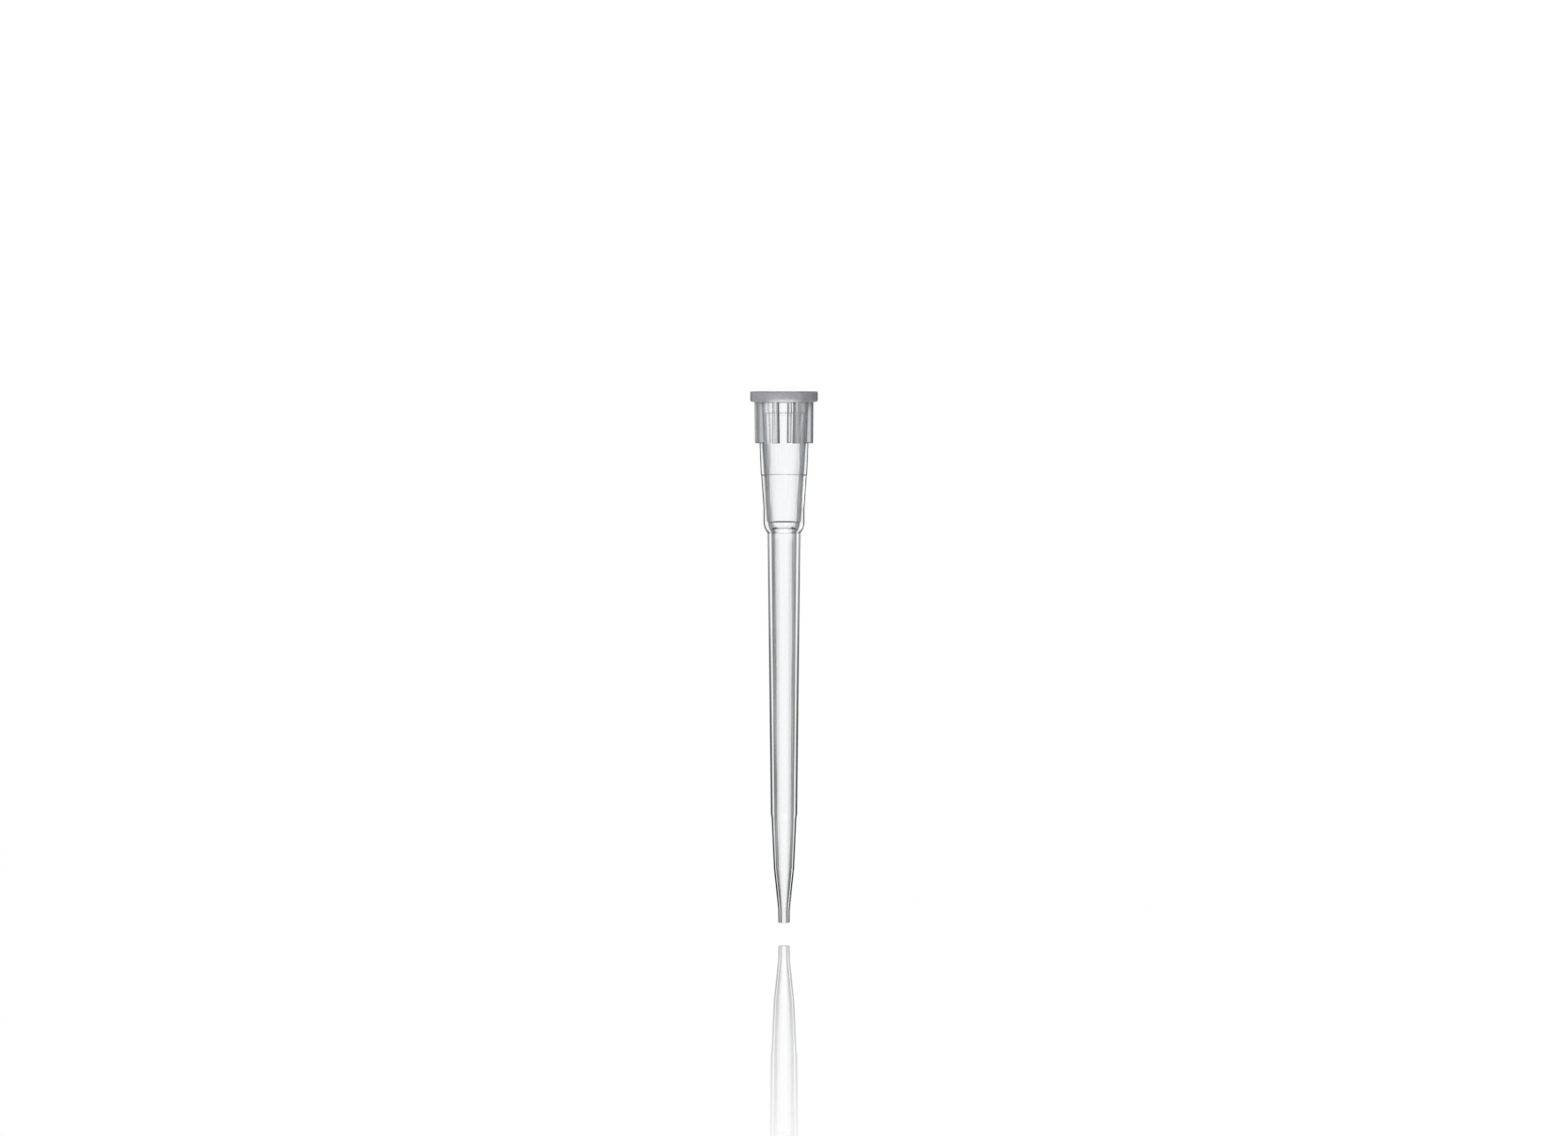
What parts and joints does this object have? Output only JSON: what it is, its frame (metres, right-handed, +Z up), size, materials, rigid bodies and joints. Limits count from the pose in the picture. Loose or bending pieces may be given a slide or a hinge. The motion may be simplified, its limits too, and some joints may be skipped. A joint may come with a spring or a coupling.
{
  "type": "pipette tip",
  "caption": "Slender clear plastic pipette tip with a ribbed, collared socket hub, a long thick-walled body and a fine point with a narrow orifice.",
  "frame": {"origin": "centre of the socket's mouth, on the collar's top face", "axes": "+Z up along the tip's axis, out of the socket towards the pipette, with the point at -Z; -Y is the side the first view looks at"},
  "size_m": [0.0058, 0.0058, 0.046],
  "materials": {
    "clear_polypropylene": "polished clear polypropylene with a slight milky haze"
  },
  "bodies": {
    "root": {"pipette_tip": "clear_polypropylene"}
  },
  "joints": []
}
